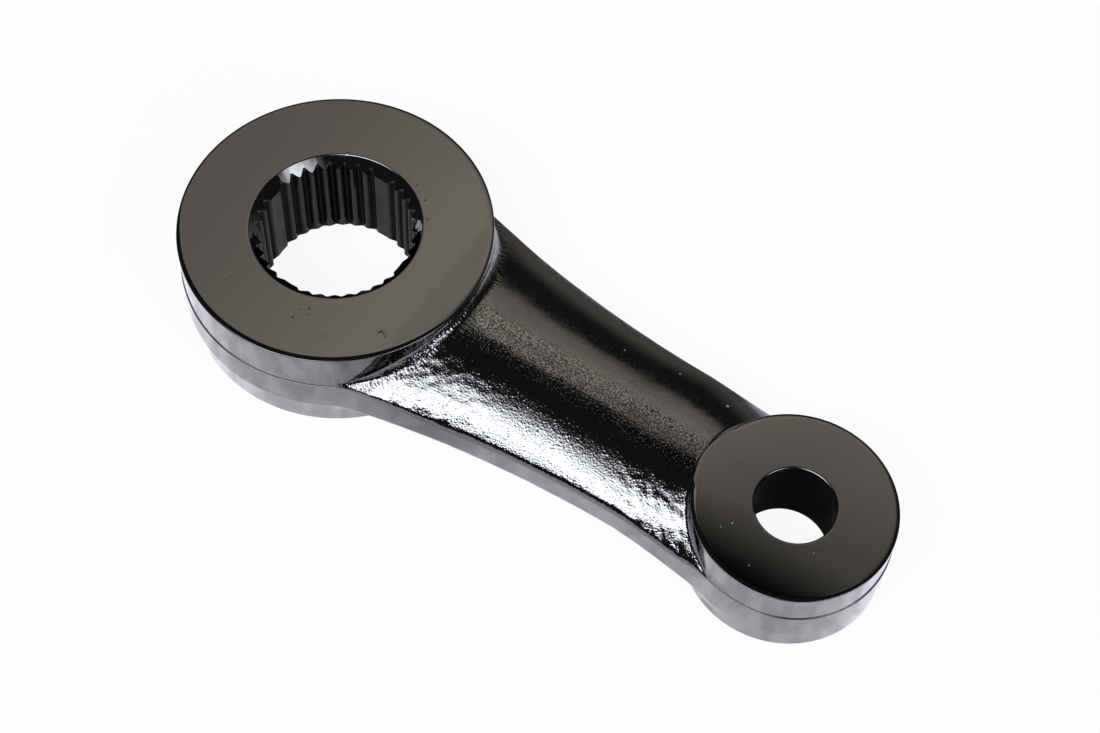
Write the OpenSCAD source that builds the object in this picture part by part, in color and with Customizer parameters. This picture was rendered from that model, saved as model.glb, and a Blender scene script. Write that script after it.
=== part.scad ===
// Pitman arm: one forged steel piece that joins a steering box's splined shaft to a drag link's tapered stud.
// The origin is on the splined bore's axis, on the plane that both bosses rest on.
// +X runs towards the stud end and +Z runs up along the bores.

/* [Splined boss] */
// Distance between the axes of the two bores
centres = 108.5; // [95:0.5:150]
// Diameter of the splined boss above and below its trim band
hub_d = 64.2; // [58:0.2:76]
// Height of the splined boss between its two machined faces
hub_h = 25; // [23:0.5:34]

/* [Spline] */
// Number of equal divisions round the spline
spline_divisions = 36; // [24:4:40]
// Number of wide keying lands, each in place of one groove
spline_keys = 4; // [1:1:4]
// Diameter across the tips of the spline's teeth
spline_tip_d = 30.9; // [26:0.1:33]
// Depth of each groove between two teeth
groove_depth = 1.05; // [0.6:0.05:1.4]
// Width of the flat on the tip of each tooth
tooth_tip_w = 0.45; // [0.2:0.05:0.8]
// Width of the flat in the root of each groove
groove_root_w = 0.3; // [0.15:0.05:0.5]
// Radial width of the chamfer at each mouth of the spline, from the tooth tips
spline_chamfer = 2.2; // [1.6:0.1:3]

/* [Stud boss] */
// Diameter of the stud boss above and below its trim band
eye_d = 40.2; // [38:0.2:50]
// Height of the stud boss between its two machined faces
eye_h = 20.2; // [16:0.2:22]
// Diameter of the tapered bore at its small end, on top
stud_small_d = 15.9; // [12:0.1:18]
// Length of bore over which its diameter grows by one unit
taper_ratio = 8; // [6:0.5:12]
// Width of the broken edge at each mouth of the tapered bore
stud_edge = 0.35; // [0.2:0.05:0.8]

/* [Shank] */
// How far each side of the shank's waist lies inside the widest place of the stud boss
waist_tuck = 2.1; // [1.5:0.1:6]
// How far inside the splined boss the circle lies that the shank's sides would touch
hub_tuck = 2; // [0.8:0.1:2.6]
// How far inside the stud boss the circle lies that the shank's sides would touch
eye_tuck = 0.8; // [0.6:0.1:1.4]
// Drop from the splined boss's top face to the crown of the shank
crown_drop = 2.6; // [0.6:0.1:4]
// Drop from the stud boss's top face to the crown of the shank
eye_crown_drop = 0.4; // [0.1:0.1:2]
// Height of the shank's underside above the resting plane, at its middle
belly_lift = 2; // [0.5:0.1:3]

/* [Trim band] */
// Height of the flat band that the flash trimming leaves all round
band_h = 7.4; // [5:0.1:8]
// Height of the band's lower edge on the splined boss
band_z = 7.8; // [6.5:0.1:8.5]
// Height of the band's lower edge on the stud boss
eye_band_z = 4.9; // [4:0.1:5.5]
// Length of shank over which the band dips to the stud boss's band
band_dip = 22; // [14:1:34]
// How far the band stands out of the boss walls above and below it
band_proud = 0.3; // [0.1:0.05:0.6]
// Draft angle of the splined boss's wall below the band
draft = 8; // [0:0.5:10]
// Draft angle of the stud boss's wall below the band
eye_draft = 1; // [0:0.5:10]
// Width of the rounded edge at each machined face
face_edge = 0.6; // [0.2:0.1:1.2]

/* [Hidden] */
$fn = 96;
// How far each cutter runs past the face that it cuts
overrun = 1;
// Steps in the quarter circle of a rounded edge
edge_steps = 3;
// Steps along the shank, and across its crown
shank_steps = 24;
crown_steps = 12;
// Points along the arc of a keying land
land_steps = 4;

hub_r = hub_d / 2;
eye_r = eye_d / 2;
tip_r = spline_tip_d / 2;
root_r = tip_r + groove_depth;
stud_small_r = stud_small_d / 2;
stud_large_r = stud_small_r + eye_h / taper_ratio / 2;

// The shank's side is one arc, tangent to a circle tucked inside each boss
hub_touch_r = hub_r + band_proud - hub_tuck;
eye_touch_r = eye_r + band_proud - eye_tuck;
half_waist = eye_r + band_proud - waist_tuck;
hub_gain = 2 * (hub_touch_r - half_waist);
eye_gain = 2 * (eye_touch_r - half_waist);
gain = eye_gain / hub_gain;
hub_rest = pow(hub_touch_r, 2) - pow(half_waist, 2);
eye_rest = pow(eye_touch_r, 2) - pow(half_waist, 2);
side_root = pow(centres, 2) - (1 - gain) * (pow(centres, 2) - eye_rest + gain * hub_rest);
waist_x = (centres - sqrt(side_root)) / (1 - gain);
side_r = (pow(waist_x, 2) - hub_rest) / hub_gain;

// The shank starts and ends well inside the bosses
shank_from = hub_r * 0.3;
shank_to = centres - eye_r * 0.3;

// Half width of the shank at a distance along it
function half_width(x) = half_waist + side_r - sqrt(pow(side_r, 2) - pow(x - waist_x, 2));

// Share of the way from the splined boss's wall to the stud boss's wall, held at both ends
function along(x) = min(1, max(0, (x - hub_r) / (centres - eye_r - hub_r)));
function between(a, b, x) = a + (b - a) * along(x);

// The band is level along the shank, and dips just before the place where the side meets the stud boss
dip_to = centres - sqrt(pow(eye_r, 2) - pow(half_waist, 2));
function dip(x) =
    let (t = min(1, max(0, (x - dip_to + band_dip) / band_dip)))
    t * t * (3 - 2 * t);

// Height of a circular crown of the given rise at a distance from its middle
function crown(y, w, rise) =
    let (r = (w * w + rise * rise) / (2 * rise))
    sqrt(r * r - y * y) - (r - rise);

// One cross-section of the shank, counterclockwise as seen from the stud end
function shank_section(x) =
    let (
        w = half_width(x),
        low = band_z + (eye_band_z - band_z) * dip(x),
        high = low + band_h,
        top = between(hub_h - crown_drop, eye_h - eye_crown_drop, x)
    )
    concat(
        [for (i = [0:crown_steps])
            let (y = w * (1 - 2 * i / crown_steps))
            [x, y, high + crown(y, w, top - high)]],
        [for (i = [0:crown_steps])
            let (y = w * (2 * i / crown_steps - 1))
            [x, y, low - crown(y, w, low - belly_lift)]]
    );

// The forged shank, lofted through its sections
module shank() {
    ring = 2 * crown_steps + 2;
    stations = [for (i = [0:shank_steps]) shank_from + (shank_to - shank_from) * i / shank_steps];
    points = [for (x = stations) for (p = shank_section(x)) p];
    sides = [for (i = [0:shank_steps - 1]) for (j = [0:ring - 1])
        let (a = i * ring + j, b = i * ring + (j + 1) % ring)
        for (face = [[a, b + ring, b], [a, a + ring, b + ring]]) face];
    near_end = [for (j = [0:ring - 1]) j];
    far_end = [for (j = [0:ring - 1]) shank_steps * ring + ring - 1 - j];
    polyhedron(points, concat(sides, [near_end, far_end]));
}

// Points of a rounded edge, turning from one direction to the next
function edge_arc(r, z, from) =
    [for (i = [0:edge_steps])
        let (a = from + 90 * i / edge_steps)
        [r + face_edge * cos(a), z + face_edge * sin(a)]];

// A boss turned about its own axis: drafted wall, proud trim band, straight wall and rounded edges
module boss(r, h, low, lean) {
    foot_r = r + band_proud - low * tan(lean);
    rotate_extrude()
        polygon(concat(
            [[0, 0]],
            edge_arc(foot_r - face_edge, face_edge, -90),
            [[r + band_proud, low], [r + band_proud, low + band_h], [r, low + band_h + band_proud]],
            edge_arc(r - face_edge, h - face_edge, 0),
            [[0, h]]
        ));
}

// Outline of the spline: V grooves at equal steps, with a wide land where each key is
function polar(r, a) = [r * cos(a), r * sin(a)];
pitch = 360 / spline_divisions;
key_step = spline_divisions / spline_keys;
tip_half = asin(tooth_tip_w / 2 / tip_r);
root_half = asin(groove_root_w / 2 / root_r);
land_half = pitch / 2 + tip_half;
function is_key(i) = (i % key_step) == 0;
spline_outline = [for (i = [0:spline_divisions - 1])
    let (a = i * pitch)
    for (p = is_key(i)
        ? [for (j = [0:land_steps]) polar(tip_r, a + land_half * (2 * j / land_steps - 1))]
        : [
            polar(tip_r, a - pitch / 2 + tip_half),
            polar(root_r, a - root_half),
            polar(root_r, a + root_half),
            polar(tip_r, a + pitch / 2 - tip_half)
        ]) p];

// Everything cut out of the splined boss
module spline_cut() {
    mouth_r = tip_r + spline_chamfer;
    translate([0, 0, -overrun])
        linear_extrude(hub_h + 2 * overrun)
            polygon(spline_outline);
    translate([0, 0, hub_h - spline_chamfer])
        cylinder(h = spline_chamfer + overrun, r1 = tip_r, r2 = mouth_r + overrun);
    translate([0, 0, -overrun])
        cylinder(h = spline_chamfer + overrun, r1 = mouth_r + overrun, r2 = tip_r);
}

// The tapered bore with its broken edges, wide end down
module stud_cut() {
    slope = 1 / taper_ratio / 2;
    translate([0, 0, -overrun])
        cylinder(h = eye_h + 2 * overrun, r1 = stud_large_r + overrun * slope, r2 = stud_small_r - overrun * slope);
    translate([0, 0, eye_h - stud_edge])
        cylinder(h = stud_edge + overrun, r1 = stud_small_r, r2 = stud_small_r + stud_edge + overrun);
    translate([0, 0, -overrun])
        cylinder(h = stud_edge + overrun, r1 = stud_large_r + stud_edge + overrun, r2 = stud_large_r);
}

module pitman_arm() {
    color("#1a1a1b")
        difference() {
            union() {
                boss(hub_r, hub_h, band_z, draft);
                translate([centres, 0, 0])
                    boss(eye_r, eye_h, eye_band_z, eye_draft);
                shank();
            }
            spline_cut();
            translate([centres, 0, 0])
                stud_cut();
        }
}

pitman_arm();
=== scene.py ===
# %% [markdown]
# # A forged pitman arm in black enamel
#
# A pitman arm is the lever on a steering box: a toothed bore fits the box's shaft, and a tapered bore at
# the other end takes the stud of a steering link. It is hot forged between two dies, the flash is
# sheared off all round, four faces and two bores are machined, and the whole arm is dipped in black
# enamel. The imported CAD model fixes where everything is, so the first cell loads it and keeps its box.

# %% Load the fixed frame
import math

import bmesh
import bpy
import numpy as np
from mathutils import Matrix, Vector, noise


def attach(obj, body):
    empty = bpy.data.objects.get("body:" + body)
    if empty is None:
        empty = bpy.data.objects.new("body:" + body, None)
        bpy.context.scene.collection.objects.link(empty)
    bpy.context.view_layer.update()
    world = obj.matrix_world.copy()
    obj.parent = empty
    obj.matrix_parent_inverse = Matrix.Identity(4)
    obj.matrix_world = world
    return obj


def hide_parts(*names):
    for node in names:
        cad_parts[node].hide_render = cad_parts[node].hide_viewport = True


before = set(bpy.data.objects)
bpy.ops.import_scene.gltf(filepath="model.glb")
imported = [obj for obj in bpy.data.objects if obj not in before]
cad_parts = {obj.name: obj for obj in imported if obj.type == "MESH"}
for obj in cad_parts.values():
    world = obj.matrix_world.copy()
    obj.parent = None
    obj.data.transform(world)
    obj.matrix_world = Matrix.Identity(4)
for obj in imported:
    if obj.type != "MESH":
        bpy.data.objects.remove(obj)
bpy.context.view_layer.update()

scene = bpy.context.scene
scene.view_settings.view_transform = "Standard"
MM = 0.001

# %% [markdown]
# ## The arm's own sizes
#
# Everything is worked out in millimetres. The sizes are the CAD model's, to within a tenth of a millimetre:
# two bosses, the distance between them, and the narrow waist of the shank. The top is the side with the
# small end of the tapered bore. Lengths become metres only when the mesh is made.

# %% Sizes in millimetres
CENTRES = 108.5
HUB_R = 32.18
HUB_H = 25.0
EYE_R = 20.18
EYE_H = 20.2
BAND_PROUD = 0.2
BAND_H = 7.4
HUB_BAND_Z = 7.8
EYE_BAND_Z = 4.9
BAND_DIP = 22.0
HALF_WAIST = 18.3
HUB_TUCK = 2.0
EYE_TUCK = 0.8
CROWN_DROP = 2.6
EYE_CROWN_DROP = 0.4
BELLY_LIFT = 2.0
HUB_BAND_R = HUB_R + BAND_PROUD
EYE_BAND_R = EYE_R + BAND_PROUD
print("bosses", 2 * HUB_R, "and", 2 * EYE_R, "mm across,", CENTRES, "mm apart")

# %% [markdown]
# ## The outline of the shank
#
# Seen from above, each side of the shank is one long arc that would touch a circle tucked just inside
# each boss. Two circles and the width of the waist settle where the waist lies and how large the arc
# is, so the outline follows the bosses if they change. The band that the flash trimming leaves runs level
# along this outline and only dips just before the low boss.

# %% Outline, band and ridge heights
hub_touch = HUB_BAND_R - HUB_TUCK
eye_touch = EYE_BAND_R - EYE_TUCK
hub_gain = 2 * (hub_touch - HALF_WAIST)
gain = 2 * (eye_touch - HALF_WAIST) / hub_gain
hub_rest = hub_touch**2 - HALF_WAIST**2
eye_rest = eye_touch**2 - HALF_WAIST**2
side_root = CENTRES**2 - (1 - gain) * (CENTRES**2 - eye_rest + gain * hub_rest)
waist_x = (CENTRES - math.sqrt(side_root)) / (1 - gain)
side_r = (waist_x**2 - hub_rest) / hub_gain
hub_touch_x = waist_x * hub_touch / (side_r + hub_touch)
eye_touch_x = CENTRES - (CENTRES - waist_x) * eye_touch / (side_r + eye_touch)


def smooth(t):
    t = np.clip(t, 0, 1)
    return t * t * (3 - 2 * t)


def half_width(x):
    return HALF_WAIST + side_r - np.sqrt(side_r**2 - (x - waist_x) ** 2)


def between(at_hub, at_eye, x):
    share = (x - HUB_R) / (CENTRES - EYE_R - HUB_R)
    return at_hub + (at_eye - at_hub) * np.clip(share, 0, 1)


def dip(at_hub, at_eye, x):
    start = CENTRES - math.sqrt(EYE_R**2 - HALF_WAIST**2) - BAND_DIP
    return at_hub + (at_eye - at_hub) * smooth((x - start) / BAND_DIP)


HALVINGS = 48
PAST_HUB = 60.0
PAST_EYE = 50.0


def last_within(centre, radius, away, inside, outside):
    """Place along the arm where something, which lies `away` from the middle plane, leaves a circle."""
    for _ in range(HALVINGS):
        x = (inside + outside) / 2
        within = np.hypot(x - centre, away(x)) < radius
        inside = np.where(within, x, inside)
        outside = np.where(within, outside, x)
    return (inside + outside) / 2


hub_join_x = last_within(0.0, HUB_BAND_R, half_width, hub_touch_x, PAST_HUB)
eye_join_x = last_within(CENTRES, EYE_BAND_R, half_width, eye_touch_x, PAST_EYE)
print(f"waist at x = {waist_x:.1f} mm, sides of radius {side_r:.0f} mm")
print(f"the sides leave the bosses at x = {hub_join_x:.1f} and {eye_join_x:.1f} mm")

# %% [markdown]
# ## Upper and lower die
#
# The arm was struck between two dies, so its surface is an upper half and a lower half that meet in the
# trimmed band. Both halves follow the same rules with other numbers. Heights count upwards in the upper
# half and downwards in the lower half (`up` is +1 or -1), so one set of functions can draw both. The
# upper half's near edge is worn rounder than its far edge, and the band starts lower there, so `sag` and
# `edge_round` hold one size for each side.

# %% What each die gives
HUB_GROWTH = 24.0
EYE_GROWTH = 10.0


def along_shank(x, at_bosses, between_them):
    """A size that changes along the shank from its value where the sides leave the bosses."""
    share = smooth((x - hub_join_x) / HUB_GROWTH) * smooth((eye_join_x - x) / EYE_GROWTH)
    return at_bosses + (between_them - at_bosses) * share


UPPER = {
    "up": 1,
    "hub_face": HUB_H,
    "eye_face": EYE_H,
    "hub_edge": HUB_BAND_Z + BAND_H,
    "eye_edge": EYE_BAND_Z + BAND_H,
    "sag": {"far": 0.6, "near": 1.8},
    "ridge": lambda x: between(HUB_H - CROWN_DROP, EYE_H - EYE_CROWN_DROP, x),
    "proud": BAND_PROUD,
    "hub_lean": 0.0,
    "eye_lean": 0.0,
    "lip": 0.15,
    "edge_round": {"far": 1.0, "near": 2.4},
    "hub_fillet": 2.4,
    "eye_fillet": 1.2,
}
LOWER = {
    "up": -1,
    "hub_face": 0.0,
    "eye_face": 0.0,
    "hub_edge": -HUB_BAND_Z,
    "eye_edge": -EYE_BAND_Z,
    "sag": {"far": 0.3, "near": 0.3},
    "ridge": lambda x: between(-BELLY_LIFT, -BELLY_LIFT, x),
    "proud": 0.1,
    "hub_lean": math.radians(8),
    "eye_lean": math.radians(1),
    "lip": 0.3,
    "edge_round": {"far": 0.8, "near": 0.8},
    "hub_fillet": 1.4,
    "eye_fillet": 1.4,
}


def of_side(size, across):
    return np.where(np.asarray(across) < 0, size["near"], size["far"])


def band_edge(x, across, die):
    level = dip(die["hub_edge"], die["eye_edge"], x)
    return level - along_shank(x, 0.0, of_side(die["sag"], across))


print("fillets at the splined boss:", UPPER["hub_fillet"], "and", LOWER["hub_fillet"], "mm")

# %% [markdown]
# ## A cross-section of the shank
#
# Cut across, each half of the shank is a low crown: from the band a short wall leans inwards by the
# draft angle, turns over a small round, and follows one large circle up to the ridge. The circle that
# touches the round and the ridge has a closed formula, so the section is exact everywhere. The place
# across the section is a number from -1 to 1.

# %% Points on a cross-section
DRAFT = math.radians(12)
BOSS_EDGE_ROUND = 0.9
LIP_END = 0.97
ROUND_END = 0.9


def section(x, across, die):
    """Distance from the middle plane and height, at a place along and across the shank."""
    lip = die["lip"]
    r = along_shank(x, BOSS_EDGE_ROUND, of_side(die["edge_round"], across))
    lip_y = half_width(x) - lip * math.tan(DRAFT)
    lip_z = band_edge(x, across, die) + lip
    round_y = lip_y - r * math.cos(DRAFT)
    round_z = lip_z - r * math.sin(DRAFT)
    rise = die["ridge"](x) - round_z
    crown_r = (round_y**2 + rise**2 - r**2) / (2 * (rise - r))
    slope = np.arctan2(round_y, crown_r - rise)
    far = np.abs(across)
    on_lip = np.clip((far - LIP_END) / (1 - LIP_END), 0, 1)
    turn = np.clip((far - ROUND_END) / (LIP_END - ROUND_END), 0, 1)
    turn = slope + (math.pi / 2 - DRAFT - slope) * turn
    angle = slope * far / ROUND_END
    on_crown = far <= ROUND_END
    y = np.where(on_crown, crown_r * np.sin(angle), round_y + r * np.sin(turn))
    z = np.where(on_crown, rise - crown_r * (1 - np.cos(angle)), r * np.cos(turn)) + round_z
    y = y + on_lip * lip * math.tan(DRAFT)
    z = z - on_lip * lip
    return np.sign(across) * y, z


middle = (HUB_R + CENTRES - EYE_R) / 2
ridge_and_edge = [np.round(section(middle, across, UPPER), 2).tolist() for across in (0.0, 1.0)]
print("mid shank, ridge and edge:", ridge_and_edge)

# %% [markdown]
# ## Where the shank runs into a boss
#
# Lines along the shank keep the same place across the section. Each ends where it meets a circle about a
# boss, and halving an interval finds that place for all lines at once. Drawing the mesh along these lines
# keeps its edges on the real edges of the forging, so the highlights stay clean.

# %% Lines along the shank
CROWN_LINES = 96
ROUND_LINES = 7
LIP_LINES = 2
half_lines = np.concatenate([
    np.linspace(0, ROUND_END, CROWN_LINES // 2 + 1)[:-1],
    np.linspace(ROUND_END, LIP_END, ROUND_LINES + 1)[:-1],
    np.linspace(LIP_END, 1, LIP_LINES + 1),
])
lines = np.concatenate([-half_lines[:0:-1], half_lines])


def line_meets_circle(centre, radius, inside, outside, die):
    """Place along the arm where each line crosses a circle about a boss."""
    start = np.full(lines.shape, float(inside))
    return last_within(centre, radius, lambda x: section(x, lines, die)[0], start, outside)


print(len(lines), "lines along the shank")

# %% [markdown]
# ## Boss walls with their edges and fillets
#
# Going down a boss from its machined face there is an edge, a wall and a hollow fillet: a wide one where
# the shank grows out of the boss, and a tiny one at the crease above the trimmed band. Thick enamel gives
# the edge an easy slope and then a tight turn, and the slope mirrors the dark room as a black line round
# the face. The stud boss is so low that its face cuts into the fillet and runs out in a shallow lip. Every
# column gets the same number of rows, so that walls and shank form one grid.

# %% Rows of a boss wall
FACE_EDGE = 0.38
CUT_EDGE = 0.14
GUARD = 0.15
SLOPE = math.radians(25)
SLOPE_SHARE = 0.5
LEAST_BEND = 0.3
MOST_CUT = 0.98
SLOPE_ROWS = 3
TURN_ROWS = 4
WALL_ROWS = 8
FILLET_ROWS = 9


def wall_rows(face, crown_z, fillet):
    """For every row below the edge: distance out, height above the crown, turn of the fillet."""
    cut = np.clip((crown_z + fillet - face + FACE_EDGE) / FACE_EDGE, 0, 1)
    edge = FACE_EDGE + (CUT_EDGE - FACE_EDGE) * cut
    wall = np.maximum(face - edge - crown_z - fillet, 0)
    first = np.arcsin(np.clip((crown_z + fillet - face + edge) / fillet, 0, MOST_CUT))
    whole = wall + fillet * (math.pi / 2 - first)
    bend = np.maximum(wall, LEAST_BEND * whole)
    steps = [bend * i / WALL_ROWS for i in range(WALL_ROWS)]
    steps += [bend + (whole - bend) * i / FILLET_ROWS for i in range(FILLET_ROWS + 1)]
    way = np.array(steps)
    turn = first + np.maximum(way - wall, 0) / fillet
    out = fillet * (1 - np.cos(turn))
    above = fillet * (1 - np.sin(turn)) + np.maximum(wall - way, 0)
    return out, above, turn


def edge_rows(first_r, first_z, face, turn):
    """The edge above a wall, as radii and heights: a flat guard ring, an easy slope and a tight turn."""
    drop = face - first_z
    tight = (1 - SLOPE_SHARE) * drop / math.cos(SLOPE)
    inward = [drop / math.tan(SLOPE) * (1 - i / SLOPE_ROWS) for i in range(SLOPE_ROWS + 1)]
    inward = [way + tight * (1 - math.sin(SLOPE)) for way in inward]
    down = [SLOPE_SHARE * drop * (i / SLOPE_ROWS) ** 2 for i in range(SLOPE_ROWS + 1)]
    for i in range(1, TURN_ROWS):
        angle = SLOPE + (math.pi / 2 - SLOPE) * i / TURN_ROWS
        inward.append(tight * (1 - math.sin(angle)))
        down.append(SLOPE_SHARE * drop + tight * (math.cos(SLOPE) - math.cos(angle)))
    inward = np.array([inward[0] + GUARD] + inward)
    down = np.array([0 * drop] + down)
    return first_r - (drop - down) * np.tan(turn) - inward, face - down


print("rows on a boss wall:", SLOPE_ROWS + TURN_ROWS + WALL_ROWS + FILLET_ROWS + 2)

# %% [markdown]
# ## One boss, all the way round
#
# The columns of a boss are the lines of the shank where the shank joins it, and even steps round the
# rest. The fillet is widest at the ridge and dies away where the shank's edge runs into the band.
# Beside its position each point gets a share called forged: 0 on machined faces, 1 on the rough forged
# skin, and a smooth change in the fillet between. The enamel reads it later.

# %% Grid of a boss
HUB_STEPS = 132
EYE_STEPS = 104
FILLET_FADE = 0.5
FILLET_LIMIT = 0.9
SKIN_FADE = 0.1


def about(centre, radius, angle, z):
    """Points at a radius and an angle about a boss."""
    parts = np.broadcast_arrays(centre + radius * np.cos(angle), radius * np.sin(angle), z)
    return np.stack(parts, axis=-1)


def boss_grid(die, name):
    """Rows by columns of points round a boss, and how forged each one is."""
    is_hub = name == "hub"
    centre = 0.0 if is_hub else CENTRES
    band_r = HUB_BAND_R if is_hub else EYE_BAND_R
    reach = (hub_touch_x, PAST_HUB) if is_hub else (eye_touch_x, PAST_EYE)
    face = die["up"] * die[name + "_face"]
    lean = math.tan(die[name + "_lean"])
    wall_r = band_r - die["proud"]
    edge_z = die[name + "_edge"]

    contact = line_meets_circle(centre, wall_r, *reach, die)
    crown_z = section(contact, lines, die)[1]
    widening = smooth((1 - np.abs(lines)) / FILLET_FADE)
    fillet = die["proud"] + (die[name + "_fillet"] - die["proud"]) * widening
    if is_hub:
        fillet = np.minimum(fillet, FILLET_LIMIT * (face - FACE_EDGE - crown_z))
    out, above, turn = wall_rows(face, crown_z, fillet)
    foot_r = wall_r - lean * (crown_z + fillet - edge_z)
    foot_x = line_meets_circle(centre, foot_r, *reach, die)
    foot_angle = np.arctan2(section(foot_x, lines, die)[0], foot_x - centre)
    joined = []
    for row_out, row_above in zip(out, above):
        radius = wall_r - lean * (crown_z + row_above - edge_z) + row_out
        x = line_meets_circle(centre, radius, *reach, die)
        y, z = section(x, lines, die)
        on_fillet = np.stack([x, y, z + row_above], axis=-1)
        on_wall = about(centre, radius, foot_angle, crown_z + row_above)
        joined.append(np.where((row_out > 0)[:, None], on_fillet, on_wall))
    joined = np.array(joined)
    down_fillet = smooth(2 * (turn - turn[0]) / (math.pi / 2 - turn[0]))
    forged = down_fillet * smooth((1 - np.abs(lines)) / SKIN_FADE)

    steps = HUB_STEPS if is_hub else EYE_STEPS
    share = np.arange(1, steps) / steps
    out, above, back_turn = wall_rows(face, edge_z + 0 * share, die["proud"] + 0 * share)
    seam = joined[:, -1]
    start = np.arctan2(seam[:, 1], seam[:, 0] - centre)[:, None]
    angles = start + (2 * math.pi * is_hub - 2 * start) * share
    free = about(centre, wall_r - lean * above + out, angles, edge_z + above)

    body = np.concatenate([joined, free], axis=1)
    forged = np.concatenate([forged, np.zeros(free.shape[:2])], axis=1)
    top = body[0]
    around = np.arctan2(top[:, 1], top[:, 0] - centre)
    first_turn = np.concatenate([turn[0], back_turn[0]])
    radii, heights = edge_rows(np.hypot(top[:, 0] - centre, top[:, 1]), top[:, 2], face, first_turn)
    rim = about(centre, radii, around, heights)
    forged = np.concatenate([np.zeros(rim.shape[:2]), forged])
    return np.concatenate([rim, body]), forged


trial, _ = boss_grid(UPPER, "hub")
print("hub grid:", trial.shape)
print("radius at the band:", np.round(np.hypot(trial[-1, -1, 0], trial[-1, -1, 1]), 3), "mm")

# %% [markdown]
# ## Gathering the skin
#
# The grids share their border points with their neighbours, so they can be dropped into one list and
# welded afterwards. A grid only has to say whether its columns close into a ring. Beside the forged share
# each point keeps a share called trimmed, which is 1 on the sheared band and 0 elsewhere.

# %% Collect grids and rings
skin_points = []
skin_forged = []
skin_trimmed = []
skin_faces = []


def add_points(points, forged=0.0, trimmed=0.0):
    start = sum(len(p) for p in skin_points)
    skin_points.append(points.reshape(-1, 3))
    for shares, share in ((skin_forged, forged), (skin_trimmed, trimmed)):
        shares.append(np.broadcast_to(share, points.shape[:-1]).reshape(-1))
    return start


def grid_faces(rows, columns, start=0, closed=False):
    faces = []
    for i in range(rows - 1):
        for j in range(columns if closed else columns - 1):
            a = start + i * columns + j
            b = start + i * columns + (j + 1) % columns
            faces.append((a, b, b + columns, a + columns))
    return faces


def add_grid(points, forged=0.0, trimmed=0.0, closed=False):
    start = add_points(points, forged, trimmed)
    skin_faces.extend(grid_faces(*points.shape[:2], start, closed))


def add_flat_ring(outer, inner, centre):
    """Triangles between two rings about one centre, always taking the nearer next point."""
    rings = []
    for ring in (outer, inner):
        angle = np.arctan2(ring[:, 1], ring[:, 0] - centre)
        order = np.argsort(angle)
        rings.append((add_points(ring[order]), angle[order]))
    (a0, a_angle), (b0, b_angle) = rings
    n, m = len(a_angle), len(b_angle)
    i = j = 0
    while i < n or j < m:
        next_a = a_angle[(i + 1) % n] + 2 * math.pi * ((i + 1) // n)
        next_b = b_angle[(j + 1) % m] + 2 * math.pi * ((j + 1) // m)
        if j >= m or (i < n and next_a < next_b):
            skin_faces.append((a0 + i % n, a0 + (i + 1) % n, b0 + j % m))
            i += 1
        else:
            skin_faces.append((a0 + i % n, b0 + (j + 1) % m, b0 + j % m))
            j += 1


def in_space(points, die):
    return points * np.array([1, 1, die["up"]])


print("ready to gather")

# %% [markdown]
# ## The forged skin
#
# Each die gives the two bosses and, between their last rows, the crown of the shank. The rows of the
# crown change step by step from the curve round one boss to the curve round the other. The outer border
# of each half is one closed loop, and the trimmed band is the upright strip between the two loops.

# %% Draw both halves and the band
SHANK_ROWS = 150
BAND_SHARES = (0, 0.012, 0.035, 0.12, 0.3, 0.5, 0.7, 0.88, 0.965, 0.988, 1)
BAND_FADE = 0.05
FACE_LOOPS = {}
n_lines = len(lines)


def half_skin(die, name):
    hub, hub_forged = boss_grid(die, "hub")
    eye, eye_forged = boss_grid(die, "eye")
    share = np.linspace(0, 1, SHANK_ROWS + 1)[:, None]
    x = hub[-1, :n_lines, 0] * (1 - share) + eye[-1, :n_lines, 0] * share
    across = np.broadcast_to(lines, x.shape)
    y, z = section(x, across, die)
    crown = np.stack([x, y, z], axis=-1)
    crown_forged = smooth((1 - np.abs(across)) / SKIN_FADE)
    add_grid(in_space(hub, die), hub_forged, closed=True)
    add_grid(in_space(eye, die), eye_forged, closed=True)
    add_grid(in_space(crown, die), crown_forged)
    FACE_LOOPS[name] = (in_space(hub[0], die), in_space(eye[0], die))
    hub_border = np.concatenate([hub[-1, n_lines - 1:], hub[-1, :1]])
    eye_border = np.concatenate([eye[-1, n_lines - 1:], eye[-1, :1]])[::-1]
    border = [hub_border[:-1], crown[:-1, 0], eye_border[:-1], crown[:0:-1, -1]]
    return in_space(np.concatenate(border), die)


upper_border = half_skin(UPPER, "top")
lower_border = half_skin(LOWER, "base")
band = np.array([upper_border + (lower_border - upper_border) * s for s in BAND_SHARES])
from_edge = np.minimum(BAND_SHARES, 1 - np.array(BAND_SHARES))
on_band = np.minimum(1, from_edge / BAND_FADE)
add_grid(band, trimmed=on_band[:, None], closed=True)
print("band loop of", band.shape[1], "points, height", np.round(band[0, 0, 2] - band[-1, 0, 2], 2), "mm")

# %% [markdown]
# ## A helper for nodes
#
# Geometry Nodes and materials are both node trees. One small function adds a node, changes its settings
# and fills its inputs, either with a value or with a link from another node's output. A second one adds a
# sum, and a third makes an object from points and faces.

# %% Add a node, a sum and a mesh
def add_node(tree, kind, inputs=None, **settings):
    node = tree.nodes.new(kind)
    for name, value in settings.items():
        setattr(node, name, value)
    for socket, value in (inputs or {}).items():
        if isinstance(value, bpy.types.NodeSocket):
            tree.links.new(value, node.inputs[socket])
        else:
            node.inputs[socket].default_value = value
    return node


def maths(tree, operation, *values):
    return add_node(tree, "ShaderNodeMath", dict(enumerate(values)), operation=operation).outputs[0]


def make_mesh(name, points_mm, faces):
    mesh = bpy.data.meshes.new(name)
    mesh.from_pydata((np.asarray(points_mm) * MM).tolist(), [], faces)
    return bpy.data.objects.new(name, mesh)


print("helpers ready")

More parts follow.
